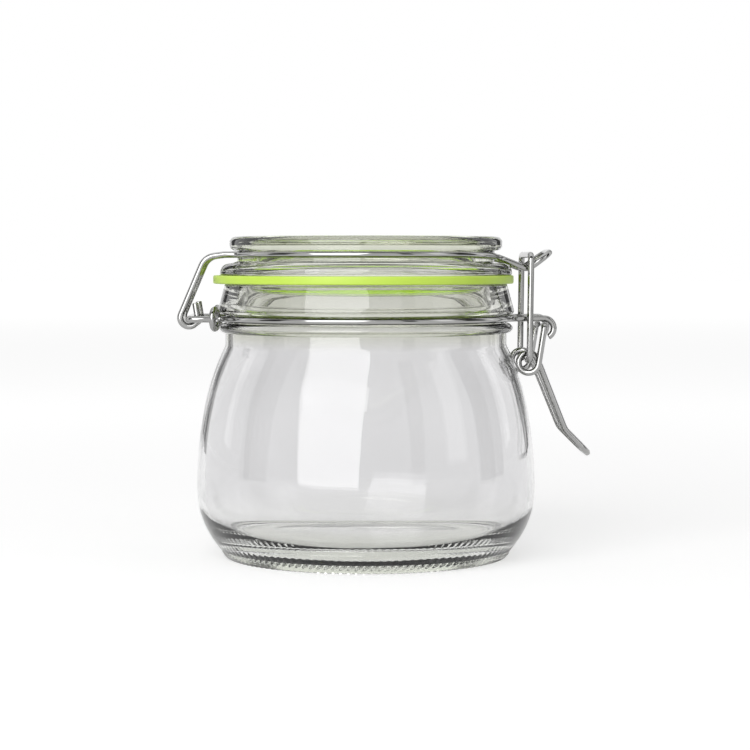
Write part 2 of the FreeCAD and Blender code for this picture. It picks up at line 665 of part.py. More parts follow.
def make_lid_wire():
    aside = size("tongue_spread") / 2
    arm_aside = size("arm_spread") / 2
    level = LID_WIRE_LEVEL
    rear_bend, rear_strand, rear_ring = rear_end_of_ring(
        LID_WIRE_RADIUS, size("ring_bend"), arm_aside, level)

    # the ring dips towards the clasp, then a bend turns it into the strand that slopes to the crook
    dip_start = turned_about(Vector(LID_WIRE_RADIUS, 0, level), Vector(0, 0, level), UP,
                             -size("dip_start"))
    dip_turn = math.radians(size("dip_lean"))
    inward = Vector(-dip_start.x, -dip_start.y, 0).normalize()
    forward = Vector(-dip_start.y, dip_start.x, 0).normalize()
    dip_inward = inward * math.cos(dip_turn) - UP * math.sin(dip_turn)
    dip_centre = dip_start + dip_inward * LID_WIRE_RADIUS
    dip_axis = forward.cross(dip_inward)
    dip_end = turned_about(dip_start, dip_centre, dip_axis, size("dip_turn"))
    dip = arc_about(dip_start, dip_centre, dip_axis, size("dip_turn"))
    heading = turned_about(forward, Vector(0, 0, 0), dip_axis, size("dip_turn"))
    bend_corner = dip_end + heading * ((-aside - dip_end.y) / heading.y)
    crook = Vector(size("crook_reach"), -aside, level - size("crook_drop"))
    tip = Vector(size("tongue_reach"), 0, level + size("tongue_rise"))
    back, ahead = dip_end - bend_corner, crook - bend_corner
    bend_radius = back.Length * math.tan(back.getAngle(ahead) / 2)
    front = runs(
        [tip, tip - Vector(0, aside, 0), crook, bend_corner, dip_end],
        [size("tongue_corner"), size("crook_round"), bend_radius],
    )

    # arm: back from the ring, down to a line that touches the hook
    hook_centre = HINGE + Vector(0, -arm_aside, HINGE_HOOK - WIRE - size("wire_gap"))
    shoulder = Vector(-size("arm_reach"), -arm_aside, level - size("arm_drop"))
    reach = hook_centre - shoulder
    touch_turn = math.degrees(math.acos(HINGE_HOOK / reach.Length))
    touch = hook_centre + turned_about(-reach.normalize() * HINGE_HOOK, Vector(0, 0, 0),
                                       Vector(0, 1, 0), -touch_turn)
    run_bend = rear_strand - Vector(size("wire_diameter"), 0, 0)
    arm = runs([rear_strand, run_bend, shoulder, touch], [size("soft_bend"), size("arm_bend")])
    # hook: under the hinge bar and up on its inner side, with a straight stub
    from_centre = touch - hook_centre
    touch_angle = math.degrees(math.atan2(from_centre.z, from_centre.x))
    curl = (size("stub_lean") - touch_angle) % 360
    hook = arc_about(touch, hook_centre, Vector(0, 1, 0), -curl)
    stub_start = end_of(hook)
    lean = math.radians(size("stub_lean"))
    stub = Part.LineSegment(stub_start, stub_start + Vector(-math.sin(lean), 0, math.cos(lean))
                            * size("stub_length")).toShape()

    ring = ring_between(dip_start, rear_ring, level)
    near = front + [dip, ring, rear_bend] + arm + [hook, stub]
    return add_wire("lid_wire", wire_solid(near + other_side(near)))


# ---------------------------------------------------------------------------------------------
# Lever: pins in the neck wire's hooks, arms, one coil on each side, and the handle
# ---------------------------------------------------------------------------------------------


def coil_centre():
    """Middle of the lever's coils, where the link's pins sit."""
    lean = math.radians(size("lever_lean"))
    down = Vector(-math.sin(lean), 0, -math.cos(lean))
    inward = Vector(-math.cos(lean), 0, math.sin(lean))
    return PIVOT + down * size("lever_arm") + inward * HOOK, down, inward


COIL, ARM_DOWN, ARM_INWARD = coil_centre()
LINK_PIVOT = COIL + Vector(0, 0, EYE_SLACK)


def make_lever():
    pitch = WIRE + size("wire_gap") / 2
    pin_end = PIVOT + Vector(0, -PIN_ASIDE, 0)
    arm_top = PIVOT + Vector(0, -LEVER_ASIDE, 0)
    arm_foot = arm_top + ARM_DOWN * size("lever_arm")
    pin_and_arm = runs([pin_end, arm_top, arm_foot], [HALF_WIRE * 1.4])

    # first half turn, from the arm under the coil to its far side, drifting inwards by half a pitch
    drift = Vector(0, pitch / 2, 0)
    coil_far = arm_foot + ARM_INWARD * (2 * HOOK) + drift
    first_middle = (arm_foot + coil_far) * 0.5
    first_axis = (coil_far - arm_foot).cross(ARM_DOWN).normalize()
    first_half = arc_about(arm_foot, first_middle, first_axis, -180)
    # second turn, back over the top, as far as the handle's lean allows
    coil_near = coil_far - ARM_INWARD * (2 * HOOK) + drift
    second_middle = (coil_far + coil_near) * 0.5
    second_axis = (coil_near - coil_far).cross(ARM_DOWN).normalize()
    rest = 180 - size("lever_lean") - size("handle_lean")
    second_half = arc_about(coil_far, second_middle, second_axis, rest)
    leave = end_of(second_half)
    heading = second_half.tangentAt(second_half.LastParameter)
    if heading.z > 0:
        heading = -heading

    knee = leave + heading * size("handle_length")
    grip_end = Vector(knee.x + size("grip_reach"), -size("grip_spread") / 2, knee.z - size("grip_drop"))
    grip = runs([leave, knee, grip_end, Vector(grip_end.x, 0, grip_end.z)],
                [size("knee_bend"), size("grip_corner")])
    near = pin_and_arm + [first_half, second_half] + grip
    return add_wire("lever", wire_solid(near + other_side(near)))


# ---------------------------------------------------------------------------------------------
# Link: top bar over the lid wire's crook, two strands, and pins in the lever's coils
# ---------------------------------------------------------------------------------------------


def make_link():
    crook_bottom = (LID_WIRE_LEVEL - size("crook_drop")
                    + size("crook_round") * (1 / math.cos(math.radians(32)) - 1))
    top = Vector(size("link_reach"), 0, crook_bottom + WIRE + size("link_lift"))
    pin_end = LINK_PIVOT + Vector(0, -PIN_ASIDE, 0)
    foot = LINK_PIVOT + Vector(0, -LINK_ASIDE, 0)
    near = runs([pin_end, foot, top - Vector(0, LINK_ASIDE, 0), top],
                [HALF_WIRE * 1.6, size("corner_bend")])
    return add_wire("link", wire_solid(near + other_side(near)))


# ---------------------------------------------------------------------------------------------
# Build, check and write
# ---------------------------------------------------------------------------------------------

pieces = [
    make_jar_glass(),
    make_neck_wire(),
    make_lid_glass(),
    make_seal(),
    make_lid_wire(),
    make_lever(),
    make_link(),
]
doc.recompute()

for item in doc.Objects:
    if "Invalid" in item.State or "Error" in item.State:
        raise RuntimeError(f"{item.Label} failed to build")
for piece in pieces:
    if piece.Shape.isNull() or not piece.Shape.isValid() or len(piece.Shape.Solids) != 1:
        raise RuntimeError(f"{piece.Label} is not one valid solid")

os.makedirs("parts", exist_ok=True)
for piece in pieces:
    piece.Shape.exportStep(f"parts/{piece.Label}.step")
    print(f"{piece.Label}: {piece.Shape.Volume / 1000:.2f} cm3")
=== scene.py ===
import math

import bmesh
import bpy
from mathutils import Matrix, Quaternion, Vector


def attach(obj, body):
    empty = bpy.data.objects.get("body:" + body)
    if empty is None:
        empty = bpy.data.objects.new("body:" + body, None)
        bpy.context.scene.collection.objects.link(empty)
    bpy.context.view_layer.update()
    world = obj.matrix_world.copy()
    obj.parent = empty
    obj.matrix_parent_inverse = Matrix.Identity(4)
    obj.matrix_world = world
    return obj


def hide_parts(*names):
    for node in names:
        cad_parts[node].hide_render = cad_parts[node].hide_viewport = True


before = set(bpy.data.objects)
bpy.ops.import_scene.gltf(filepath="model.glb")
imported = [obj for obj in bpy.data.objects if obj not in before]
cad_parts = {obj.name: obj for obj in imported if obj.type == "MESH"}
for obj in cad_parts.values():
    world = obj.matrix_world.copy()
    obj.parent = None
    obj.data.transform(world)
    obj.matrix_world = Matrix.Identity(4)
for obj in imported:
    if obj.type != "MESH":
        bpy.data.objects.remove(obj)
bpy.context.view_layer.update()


# ---------------------------------------------------------------------------------------------
# Jar. Clear soda-lime glass, blown into a two-part mould: a round belly, a neck with a bead and a
# groove for the neck wire, and a ground rim. Slanting ribs are moulded round the foot it stands on.
# ---------------------------------------------------------------------------------------------

MM = 0.001
ROUND_STEPS = 480
FOOT_RIBS = 120
RIB_DEPTH = 0.45
RIB_SLANT = 0.055
RIB_START = 42.5
RIB_FADE = 1.2
RIB_LIFT = 0.25
FOOT_UNDERSIDE = 0.3
FOOT_TOP = 4.6
ARC_STEP_DEGREES, ARC_STEP_LENGTH = 11, 2.2
CRISP_EDGE = math.radians(38)


class TurnedSection:
    """Half section of a turned piece, drawn in millimetres point by point, then turned round the axis."""

    def __init__(self, radius, height):
        self.mesh = bmesh.new()
        self.tip = self.mesh.verts.new((radius * MM, 0, height * MM))

    def line(self, radius, height, steps=1):
        stride = (Vector((radius * MM, 0, height * MM)) - self.tip.co) / steps
        for _ in range(steps):
            self.tip = bmesh.ops.extrude_vert_indiv(self.mesh, verts=[self.tip])["verts"][0]
            bmesh.ops.translate(self.mesh, verts=[self.tip], vec=stride)

    def arc(self, radius, height, bend, side):
        """Arc to a point. Its centre lies to the left or the right of the way that is travelled."""
        goal = Vector((radius * MM, 0, height * MM))
        chord = goal - self.tip.co
        turn = 2 * math.asin(min(1.0, chord.length / (2 * bend * MM)))
        left = Vector((-chord.z, 0, chord.x)).normalized() * (1 if side == "left" else -1)
        middle = (goal + self.tip.co) / 2
        centre = middle + left * (bend * MM * math.cos(turn / 2))
        steps = max(3, round(math.degrees(turn) / ARC_STEP_DEGREES), round(bend * turn / ARC_STEP_LENGTH))
        made = bmesh.ops.spin(
            self.mesh, geom=[self.tip], cent=centre, axis=(0, -1 if side == "left" else 1, 0),
            angle=turn, steps=steps)
        self.tip = next(item for item in made["geom_last"] if isinstance(item, bmesh.types.BMVert))
        self.tip.co = goal

    def turned(self, closed=False):
        """The whole round piece, as a mesh with its faces outwards."""
        mesh = self.mesh
        if closed:
            mesh.verts.ensure_lookup_table()
            mesh.edges.new((self.tip, mesh.verts[0]))
        bmesh.ops.spin(mesh, geom=mesh.verts[:] + mesh.edges[:], cent=(0, 0, 0), axis=(0, 0, 1),
                       angle=2 * math.pi, steps=ROUND_STEPS, use_merge=True)
        bmesh.ops.remove_doubles(mesh, verts=mesh.verts[:], dist=2e-6)
        bmesh.ops.dissolve_degenerate(mesh, edges=mesh.edges[:], dist=1e-7)
        bmesh.ops.recalc_face_normals(mesh, faces=mesh.faces[:])
        return mesh


def finished_piece(name, mesh, finish, body, node):
    """Puts a finished mesh in the scene, in the place of its plain CAD solid."""
    for edge in mesh.edges:
        edge.smooth = edge.calc_face_angle(0) < CRISP_EDGE
    data = bpy.data.meshes.new(name)
    mesh.to_mesh(data)
    mesh.free()
    data.polygons.foreach_set("use_smooth", [True] * len(data.polygons))
    data.materials.append(finish)
    piece = bpy.data.objects.new(name, data)
    bpy.context.scene.collection.objects.link(piece)
    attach(piece, body)
    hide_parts(node)


class Signal:
    """One value in a finish, so that streaks, smudges and scratches are written as sums."""

    def __init__(self, finish, socket):
        self.finish, self.socket = finish, socket

    def maths(self, operation, first, second):
        return self.finish.node("ShaderNodeMath", {"operation": operation}, {0: first, 1: second})["Value"]

    def __add__(self, other):
        return self.maths("ADD", self, other)

    def __radd__(self, other):
        return self.maths("ADD", other, self)

    def __mul__(self, other):
        return self.maths("MULTIPLY", self, other)

    def __rmul__(self, other):
        return self.maths("MULTIPLY", other, self)


class Finish:
    """A material under a maker's name, with the one call that adds a node to it."""

    def __init__(self, name, tree_owner=None):
        self.owner = tree_owner or bpy.data.materials.new(name)
        self.owner.use_nodes = True
        self.tree = self.owner.node_tree
        self.tree.nodes.clear()

    def node(self, kind, settings=None, sockets=None):
        """Adds a node: its settings first, then its sockets' values or links. Returns its outputs by name."""
        made = self.tree.nodes.new(kind)
        for name, value in (settings or {}).items():
            setattr(made, name, value)
        for name, value in (sockets or {}).items():
            if isinstance(value, Signal):
                self.tree.links.new(value.socket, made.inputs[name])
            else:
                made.inputs[name].default_value = value
        return {output.name: Signal(self, output) for output in made.outputs if output.enabled}

    def where(self, scale=(1, 1, 1), turn=(0, 0, 0)):
        """Object coordinates, stretched or turned for a pattern that runs one way."""
        place = self.node("ShaderNodeTexCoord")["Object"]
        return self.node("ShaderNodeMapping", None, {
            "Vector": place, "Scale": scale, "Rotation": turn})["Vector"]

    def cloudy(self, scale, detail=3.0, roughness=0.5, stretch=(1, 1, 1), turn=(0, 0, 0)):
        """Soft patches of 0 to 1, so many to a metre."""
        return self.node("ShaderNodeTexNoise", None, {
            "Vector": self.where(stretch, turn), "Scale": scale, "Detail": detail,
            "Roughness": roughness})["Fac"]

    def between(self, amount, low, high):
        """Colour between two colours, each a link or three numbers."""
        low, high = (end if isinstance(end, Signal) else (*end, 1.0) for end in (low, high))
        return self.node("ShaderNodeMix", {"data_type": "RGBA", "clamp_factor": True},
                         {0: amount, 6: low, 7: high})["Result"]

    def height(self):
        """Height above the bench, in metres."""
        return self.node("ShaderNodeSeparateXYZ", None, {0: self.where()})["Z"]

    def only_above(self, value, start, end):
        """0 below start, 1 above end."""
        return self.node("ShaderNodeMapRange", {"interpolation_type": "SMOOTHSTEP"}, {
            "Value": value, "From Min": start, "From Max": end, "To Min": 0.0, "To Max": 1.0})["Result"]

    def relief(self, height, strength, depth):
        return self.node("ShaderNodeBump", None, {
            "Height": height, "Strength": strength, "Distance": depth})["Normal"]

    def output(self, shader, kind="ShaderNodeOutputMaterial"):
        self.node(kind, None, {"Surface": shader})
        return self.owner


def clear_glass(name, clear, deeper, waves, depth, tint_and_painted_light_bands=()):
    """Clear glass with the faint waves, drawn lines and smudges of a moulded piece.

    In bands of height given in millimetres the glass takes another colour. This is partly the faint olive of
    thick glass and partly painted light and painted shade, lighter or darker than the glass renders there.
    """
    glass = Finish(name)
    slow = glass.cloudy(waves, detail=2.0, stretch=(1, 1, 0.6))
    lines = glass.cloudy(260, detail=2.0, stretch=(1, 1, 0.12))
    smudge = glass.only_above(glass.cloudy(55, detail=4.0, roughness=0.6), 0.56, 0.78)
    specks = glass.only_above(glass.cloudy(900, detail=1.0), 0.71, 0.76)
    colour = glass.between(slow, deeper, clear)
    # each band paints a colour by height: partly the tint of thick glass, partly painted light and painted
    # shade
    for start, end, band_colour in tint_and_painted_light_bands:
        colour = glass.between(glass.only_above(glass.height(), start * MM, end * MM), colour, band_colour)
    shader = glass.node("ShaderNodeBsdfPrincipled", None, {
        "Base Color": colour,
        "Roughness": smudge * 0.035 + specks * 0.04,
        "IOR": 1.5,
        "Transmission Weight": 1.0,
        "Normal": glass.relief(slow + lines * 0.06, 0.5, depth),
    })["BSDF"]
    return glass.output(shader)


section = TurnedSection(0, 3.2)
section.arc(31, 1.2, 241.25, "right")
section.line(41.2, 1.2, 4)
section.line(42.0, 0)
section.line(44.8, 0, 3)
section.arc(46.3, 2.8, 3.64, "left")
section.line(46.8, 2.8)
section.arc(54, 21.7, 28.40625, "left")
section.arc(51.3964, 48.034, 134.4789, "left")
section.arc(44.95985, 67.20289, 79.9136, "left")
section.arc(44.8, 67.9, 1.6, "right")
section.line(44.8, 71.3, 2)
section.arc(46.8, 72.95, 2.0, "left")
section.arc(44.6, 74.6, 2.2, "left")
section.line(44.6, 77.3, 2)
section.line(46.1, 77.3)
section.arc(47.2, 78.4, 1.1, "left")
section.line(45.2, 86.0, 4)
section.arc(44.3, 86.9, 0.9, "left")
section.line(41.1, 86.9)
section.arc(40.2, 86.0, 0.9, "left")
section.line(40.2, 79.5, 3)
section.arc(41.3, 77.2, 2.9545, "left")
section.arc(42.4, 74.9, 2.9545, "right")
section.line(42.4, 67.9, 3)
section.arc(42.79962, 66.15723, 4.0, "left")
section.arc(49.04287, 47.56403, 77.5136, "right")
section.arc(51.75, 19.4, 132.0789, "right")
section.arc(37.4, 5.0, 14.5, "right")
section.line(31, 5.0)
section.arc(0, 6.8, 267.844, "left")
jar_mesh = section.turned()

# the ribs are pressed in between the standing ring and the heel
for vert in jar_mesh.verts:
    across = math.hypot(vert.co.x, vert.co.y) / MM
    up = vert.co.z / MM
    if across > RIB_START and up < FOOT_TOP:
        angle = math.atan2(vert.co.y, vert.co.x) + RIB_SLANT * up
        fade = min(1.0, (across - RIB_START) / RIB_FADE) * min(1.0, (FOOT_TOP - up) / RIB_FADE)
        pressed = RIB_DEPTH * fade * (0.5 - 0.5 * math.cos(FOOT_RIBS * angle))
        vert.co.x *= 1 - pressed / across
        vert.co.y *= 1 - pressed / across
        if up < FOOT_UNDERSIDE:
            vert.co.z += RIB_LIFT * pressed * MM

# Bands: up to 8 mm, fading out by 24 mm, the glass is painted lighter, as painted light over heel corners
# that render dark. From 66 mm, full by 71 mm, the neck turns olive, partly from thick glass and partly as
# painted shade and a painted reflection of the lime seal. Up to 2.2 mm, fading out by 3.6 mm, the foot turns
# dark olive, partly from thick glass and partly as a painted shadow of the floor under the jar.
jar_glass_finish = clear_glass("blown_glass", (0.85, 0.848, 0.853), (0.815, 0.813, 0.82), 34, 0.0004,
                               [(24, 8, (0.93, 0.93, 0.925)), (66, 71, (0.725, 0.73, 0.68)),
                                (3.6, 2.2, (0.66, 0.68, 0.60))])
finished_piece("blown_jar", jar_mesh, jar_glass_finish, "jar", "jar_glass")


# ---------------------------------------------------------------------------------------------
# Lid. A pressed glass disc with a plug that drops into the mouth, a flange that rests on the
# seal, a groove for the lid wire and a rounded top bead round a shallow dish.
# ---------------------------------------------------------------------------------------------

section = TurnedSection(0, 83.1)
section.arc(36.3, 82.5, 1098, "right")
section.arc(37.9, 83.7, 1.25, "left")
section.line(38.4, 89.6, 3)
section.line(45.9, 89.6, 3)
section.arc(46.5, 90.2, 0.6, "left")
section.line(46.5, 90.4)
section.arc(43.5, 93.4, 3.0, "left")
section.line(41.0, 94.0, 2)
section.line(41.0, 97.4, 2)
section.line(41.6, 97.4)
section.arc(43.4, 99.2, 1.8, "left")
section.line(43.4, 100.0)
section.arc(41.6, 101.8, 1.8, "left")
section.line(39.0, 101.8, 2)
section.arc(37.2, 100.0, 1.8, "left")
section.line(35.4, 91.4, 4)
section.arc(33.2, 89.2, 2.2, "right")
section.line(0, 89.2, 10)
# The lid's olive is partly the glass's own tint and partly a painted reflection of the lime seal under it.
# From 93 mm, full by 95 mm, the crown is painted a darker olive, partly from thick glass and partly as
# painted shade and a painted reflection of the seal.
lid_glass_finish = clear_glass("pressed_glass", (0.845, 0.855, 0.805), (0.805, 0.815, 0.76), 48, 0.0003,
                               [(93, 95, (0.67, 0.685, 0.59))])
finished_piece("pressed_lid", section.turned(), lid_glass_finish, "lid", "lid_glass")


# ---------------------------------------------------------------------------------------------
# Seal. A flat ring cut from soft lime-green rubber, satin with fine pores and a little dust, held
# by the lid's plug and squeezed between the lid's flange and the jar's ground rim.
# ---------------------------------------------------------------------------------------------

SEAL_LOW, SEAL_HIGH = 86.93, 89.57
SEAL_ASIDE = -0.8
SEAL_BORE, SEAL_OUTSIDE = 38.55, 47.8
SEAL_ROUND = 0.5
SEAL_GIVE = 6.0

section = TurnedSection(SEAL_BORE, SEAL_LOW)
section.line(47.3, SEAL_LOW, 5)
section.arc(SEAL_OUTSIDE, SEAL_LOW + SEAL_ROUND, SEAL_ROUND, "left")
section.line(SEAL_OUTSIDE, SEAL_HIGH - SEAL_ROUND, 2)
section.arc(47.3, SEAL_HIGH, SEAL_ROUND, "left")
section.line(SEAL_BORE, SEAL_HIGH, 5)
seal_mesh = section.turned(closed=True)
# the squeezed bore hugs the plug, and the outside sits a little towards the hinge
for vert in seal_mesh.verts:
    across = math.hypot(vert.co.x, vert.co.y) / MM
    vert.co.x += SEAL_ASIDE * MM * min(1.0, max(0.0, (across - SEAL_BORE) / SEAL_GIVE))

rubber = Finish("lime_rubber")
patches = rubber.cloudy(70, detail=3.0)
pores = rubber.cloudy(1500, detail=2.0, roughness=0.6)
dust = rubber.only_above(rubber.cloudy(420, detail=4.0), 0.62, 0.8)
lime = rubber.between(patches, (0.53, 0.78, 0.075), (0.62, 0.83, 0.12))
upright = rubber.node("ShaderNodeVectorMath", {"operation": "MULTIPLY"},
                      {0: rubber.where(), 1: (1, 1, 0)})["Vector"]
across = rubber.node("ShaderNodeVectorMath", {"operation": "LENGTH"}, {0: upright})["Value"]
# painted light: the thin bore, which renders dim inside the glass, is painted a brighter lime and made to
# glow faintly, standing in for the light that soft rubber passes
glowing = rubber.only_above(across, 40.2 * MM, 39.2 * MM)
dusty_lime = rubber.between(dust * 0.18, lime, (0.78, 0.88, 0.42))
shader = rubber.node("ShaderNodeBsdfPrincipled", None, {
    "Base Color": rubber.between(glowing, dusty_lime, (0.66, 0.92, 0.05)),
    "Roughness": patches * 0.12 + dust * 0.15 + 0.34,
    "Specular IOR Level": 0.45,
    "Emission Color": rubber.between(glowing, (0, 0, 0), (0.42, 0.76, 0.005)),
    "Emission Strength": 0.65,
    "Normal": rubber.relief(pores, 0.25, 0.00008),
})["BSDF"]
finished_piece("rubber_ring", seal_mesh, rubber.output(shader), "lid", "seal")


# ---------------------------------------------------------------------------------------------
# Neck wire. Bright drawn steel wire, 2 mm thick, bent round the groove in the neck: a hinge bar
# at the back with an eye on each side, and two hooks at the front that hold the lever's pins.
# ---------------------------------------------------------------------------------------------

WIRE_RADIUS = 1.0
WIRE_SIDES = 20
WIRE_CORNER = 0.3
BEND_STEP_DEGREES, BEND_STEP_LENGTH = 9, 1.6
Y_AXIS, UP = Vector((0, 1, 0)), Vector((0, 0, 1))


class BentWire:
    """Round wire, bent step by step in the half towards -Y. Places are in millimetres."""

    def __init__(self, start, heading, mesh=None):
        self.mesh = mesh or bmesh.new()
        self.at, self.heading = Vector(start), Vector(heading).normalized()
        place = self.heading.to_track_quat("Z", "Y").to_matrix().to_4x4()
        place.translation = self.at * MM
        ring = bmesh.ops.create_circle(self.mesh, segments=WIRE_SIDES, radius=WIRE_RADIUS * MM, matrix=place)
        self.start = self.front = list({edge for vert in ring["verts"] for edge in vert.link_edges})

    def run(self, length):
        """Straight run."""
        if length < 1e-4:
            return self
        made = bmesh.ops.extrude_edge_only(self.mesh, edges=self.front)["geom"]
        verts = {item for item in made if isinstance(item, bmesh.types.BMVert)}
        bmesh.ops.translate(self.mesh, verts=list(verts), vec=self.heading * length * MM)
        self.front = [item for item in made
                      if isinstance(item, bmesh.types.BMEdge) and verts.issuperset(item.verts)]
        self.at = self.at + self.heading * length
        return self

    def turn(self, axis, bend, degrees):
        """Bend of so many degrees about an axis, at a radius to the middle of the wire."""
        axis = Vector(axis).normalized()
        centre = self.at + axis.cross(self.heading) * bend
        angle = math.radians(degrees)
        steps = max(2, round(degrees / BEND_STEP_DEGREES), round(bend * angle / BEND_STEP_LENGTH))
        made = bmesh.ops.spin(
            self.mesh, geom=self.front, cent=centre * MM, axis=axis, angle=angle, steps=steps)
        self.front = [item for item in made["geom_last"] if isinstance(item, bmesh.types.BMEdge)]
        turned = Quaternion(axis, angle)
        self.at = centre + turned @ (self.at - centre)
        self.heading = (turned @ self.heading).normalized()
        return self

    def through(self, corners, bends):
        """Runs through corners with a bend at each, and on to the last point."""
        corners = [Vector(corner) for corner in corners]
        for corner, after, bend in zip(corners, corners[1:], bends):
            ahead = (after - corner).normalized()
            angle = self.heading.angle(ahead)
            axis = self.heading.cross(ahead)
            self.run((corner - self.at).length - bend * math.tan(angle / 2))
            self.turn(axis, bend, math.degrees(angle))
        self.run((corners[-1] - self.at).length)
        return self

    def cut_end(self, ring=None):
        """Closes a cropped end, with the small burr-free round that tumbling leaves."""
        edges = ring or self.front
        bmesh.ops.contextual_create(self.mesh, geom=edges)
        bmesh.ops.bevel(self.mesh, geom=edges, offset=WIRE_CORNER * MM, offset_type="OFFSET",
                        affect="EDGES", segments=3, profile=0.5, material=-1)
        return self


def both_halves(mesh):
    """The whole wire: the bent half and its mirror image, joined on the middle line."""
    bmesh.ops.mirror(mesh, geom=mesh.verts[:] + mesh.edges[:] + mesh.faces[:], matrix=Matrix.Identity(4),
                     merge_dist=2e-6, axis="Y")
    bmesh.ops.remove_doubles(mesh, verts=mesh.verts[:], dist=1e-6)
    bmesh.ops.recalc_face_normals(mesh, faces=mesh.faces[:])
    return mesh


def drawn_wire(name, bright, dull):
    """Drawn steel wire: bright, with die lines, small rubbed places and a few fine scratches. Its two colours
    are painted darker than steel's own: painted shade for the darker surroundings a real wire reflects.
    """
    steel = Finish(name)
    tone = steel.cloudy(130, detail=3.0)
    die_lines = steel.cloudy(2600, detail=2.0, roughness=0.7)
    rubbed = steel.only_above(steel.cloudy(330, detail=4.0, roughness=0.65), 0.55, 0.72)
    scratches = steel.only_above(steel.cloudy(700, detail=2.0, stretch=(1, 0.15, 3), turn=(0.4, 0.9, 0.2)),
                                 0.64, 0.72)
    shader = steel.node("ShaderNodeBsdfPrincipled", None, {
        "Base Color": steel.between(tone, dull, bright),
        "Metallic": 1.0,
        "Roughness": rubbed * 0.08 + scratches * 0.08 + tone * 0.04 + 0.08,
        "Normal": steel.relief(die_lines * 0.5 + scratches, 0.05, 0.00002),
    })["BSDF"]
    return steel.output(shader)


HINGE_X, NECK_LEVEL = -55.8, 76.0
NECK_RING = 45.7
EYE_LEAN = math.radians(75)
PIN_X = 55.9

wire = BentWire((HINGE_X, 0, NECK_LEVEL), -Y_AXIS)
wire.through([(HINGE_X, -16.8, NECK_LEVEL), (-48.48, -16.8, NECK_LEVEL)], [2.5]).cut_end()
neck_mesh = wire.mesh

eye = BentWire((-48.4779, -16.8, NECK_LEVEL), UP, neck_mesh)
eye.turn((-math.sin(EYE_LEAN), math.cos(EYE_LEAN), 0), 3.0, 360)

strand = BentWire((-46.9251, -11.004, NECK_LEVEL), (1, 0, 0), neck_mesh)
strand.cut_end(strand.start)
strand.run(0.6536).turn(-UP, 2.5, 73.730)
strand.turn(UP, NECK_RING, 147.968).turn(-UP, 4.0, 74.238)
strand.run(PIN_X - strand.at.x).turn(Y_AXIS, 3.1, 152).cut_end()
# painted shade: both steel colours are darker than drawn steel's own, standing in for the darker surroundings
# that the wire reflects
steel_finish = drawn_wire("drawn_steel", (0.41, 0.41, 0.405), (0.29, 0.29, 0.285))
finished_piece("neck_wire_bent", both_halves(neck_mesh), steel_finish, "jar", "neck_wire")


# ---------------------------------------------------------------------------------------------
# Lid wire. The same wire round the lid's groove: a looped tongue at the front with a crook that
# the link pulls on, and two arms at the back that end in hooks under the hinge bar.
# ---------------------------------------------------------------------------------------------

LID_LEVEL, LID_RING = 96.1, 42.1
DIP_START, DIP_LEAN, DIP_TURN = math.radians(-52), math.radians(4.5), 35

leaves_ring = Vector((LID_RING * math.cos(DIP_START), LID_RING * math.sin(DIP_START), LID_LEVEL))
forward = Vector((-math.sin(DIP_START), math.cos(DIP_START), 0))
inward = Vector((-leaves_ring.x, -leaves_ring.y, 0)).normalized()
dip_inward = inward * math.cos(DIP_LEAN) - UP * math.sin(DIP_LEAN)
dip_centre = leaves_ring + dip_inward * LID_RING
dip_axis = forward.cross(dip_inward).normalized()
dip = Quaternion(dip_axis, math.radians(DIP_TURN))
dip_end = dip_centre + dip @ (leaves_ring - dip_centre)
dip_heading = dip @ forward
bend_corner = dip_end + dip_heading * ((-9.5 - dip_end.y) / dip_heading.y)
crook = Vector((50.8, -9.5, 91.5))
back, ahead = dip_end - bend_corner, crook - bend_corner
front_bend = back.length * math.tan(back.angle(ahead) / 2)

wire = BentWire((58.0, 0, 96.8), -Y_AXIS)
wire.through([(58.0, -9.5, 96.8), crook, bend_corner, dip_end], [5.0, 3.0, front_bend])
wire.turn(-dip_axis, LID_RING, DIP_TURN)
wire.turn(-UP, LID_RING, 106.362).turn(UP, 4.0, 68.360)
wire.through([(-44.85, -13, LID_LEVEL), (-50.7, -13, 95.3), (-58.285, -13, 77.456)], [4.0, 5.0])
wire.turn(-Y_AXIS, 2.7, 212.0).run(4.3).cut_end()
finished_piece("lid_wire_bent", both_halves(wire.mesh), steel_finish, "lid", "lid_wire")


# ---------------------------------------------------------------------------------------------
# Lever. One wire bent into a handle: pins that turn in the neck wire's hooks, two arms, an open
# coil on each side that carries the link, and a bent grip at the bottom.
# ---------------------------------------------------------------------------------------------

ARM_LEAN = math.radians(9)
ARM_LENGTH = 12.3
PIN_LEVEL, PIN_END = 73.7, -8.2
COIL_WIDTH, COIL_DRIFT = 6.2, 1.075
HANDLE_LENGTH, GRIP_REACH = 24.5, 7.8

arm_down = Vector((-math.sin(ARM_LEAN), 0, -math.cos(ARM_LEAN)))
arm_inward = Vector((arm_down.z, 0, -arm_down.x))
arm_top = Vector((PIN_X, -11.8, PIN_LEVEL))
arm_foot = arm_top + arm_down * ARM_LENGTH
wire = BentWire((PIN_X, PIN_END, PIN_LEVEL), -Y_AXIS)
wire.cut_end(wire.start)
wire.through([arm_top, arm_foot], [1.4])
across = arm_inward * COIL_WIDTH + Y_AXIS * COIL_DRIFT
back_across = -arm_inward * COIL_WIDTH + Y_AXIS * COIL_DRIFT
wire.turn(-across.cross(arm_down), across.length / 2, 180)
wire.turn(back_across.cross(arm_down), across.length / 2, 148.6)
knee = wire.at + wire.heading * HANDLE_LENGTH
grip_end = Vector((knee.x + GRIP_REACH, -6.5, knee.z - GRIP_REACH))
wire.through([knee, grip_end, (grip_end.x, 0, grip_end.z)], [6.0, 4.5])
finished_piece("clasp_lever", both_halves(wire.mesh), steel_finish, "lever", "lever")


# ---------------------------------------------------------------------------------------------
# Link. A plain loop of the same wire: its pins turn in the lever's coils and its top bar lies
# over the tongue's crook, so that pulling the lever down draws the lid tight.
# ---------------------------------------------------------------------------------------------

